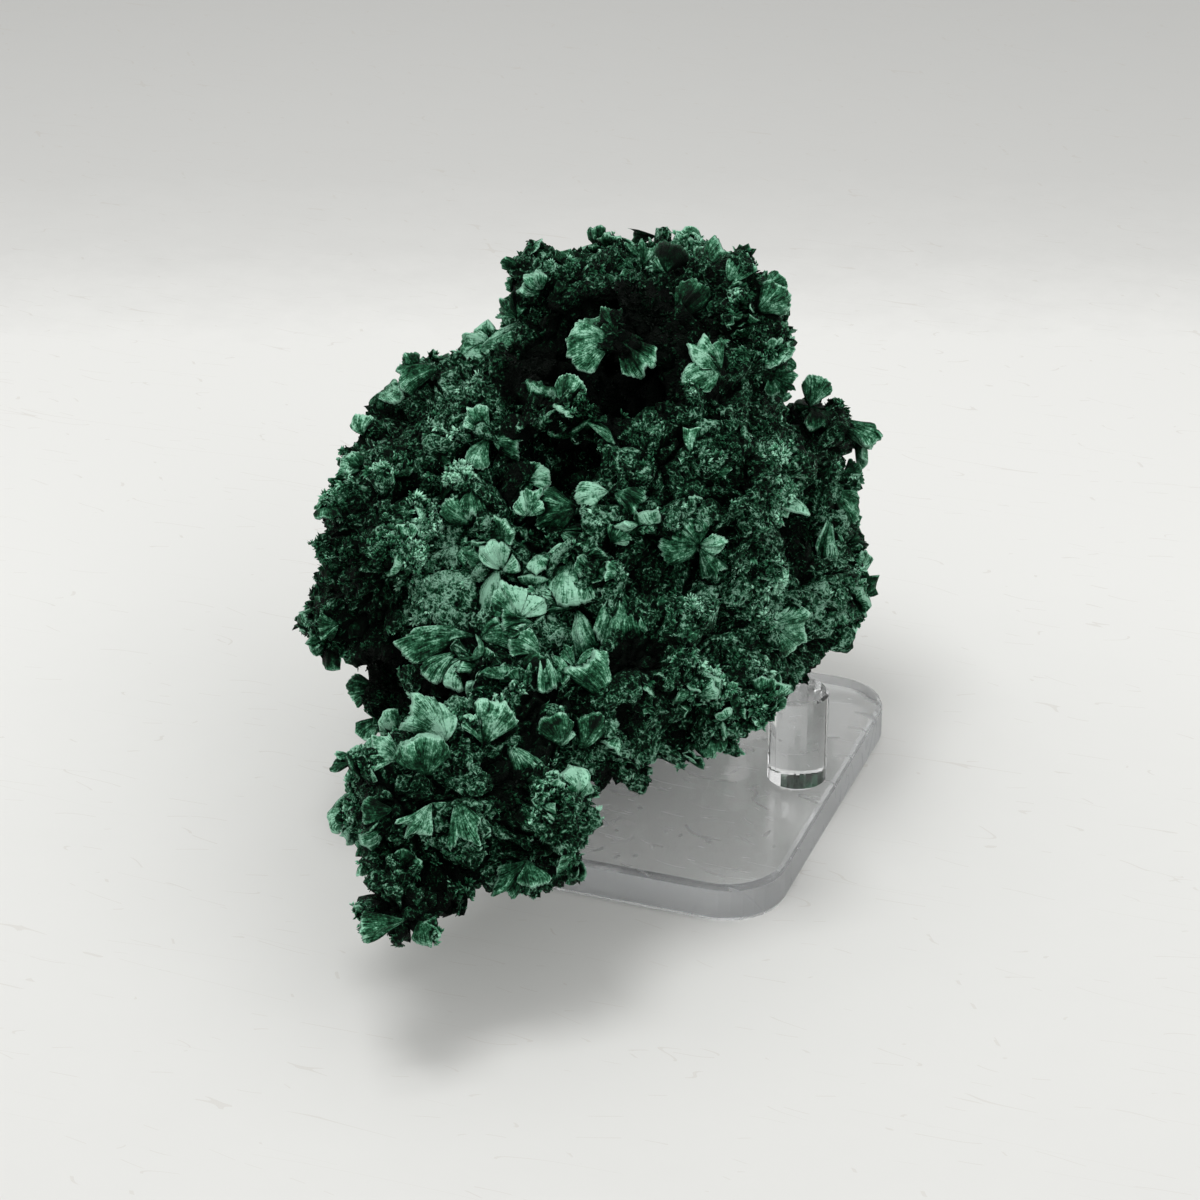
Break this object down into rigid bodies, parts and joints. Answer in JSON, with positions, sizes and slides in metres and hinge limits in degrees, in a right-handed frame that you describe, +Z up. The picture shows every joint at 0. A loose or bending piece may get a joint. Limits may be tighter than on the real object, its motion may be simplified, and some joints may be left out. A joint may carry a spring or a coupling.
{
  "type": "fibrous malachite specimen on a clear acrylic stand",
  "caption": "Dark green fibrous malachite mass covered in crystal fans, resting on short clear acrylic pegs on a clear base plate.",
  "frame": {"origin": "centre of the base plate's underside", "axes": "+Z up; +X along the plate's short side towards the right-hand peg; +Y along the plate's long side, away from the specimen's overhanging end"},
  "size_m": [0.1138, 0.1989, 0.1101],
  "materials": {
    "malachite": "silky fibrous crystals, dark green with mint rims",
    "clear_acrylic": "clear polished acrylic, lightly scratched"
  },
  "bodies": {
    "root": {"malachite": "malachite", "base_plate": "clear_acrylic", "peg_right": "clear_acrylic", "peg_left_front": "clear_acrylic", "peg_left_back": "clear_acrylic"}
  },
  "joints": []
}
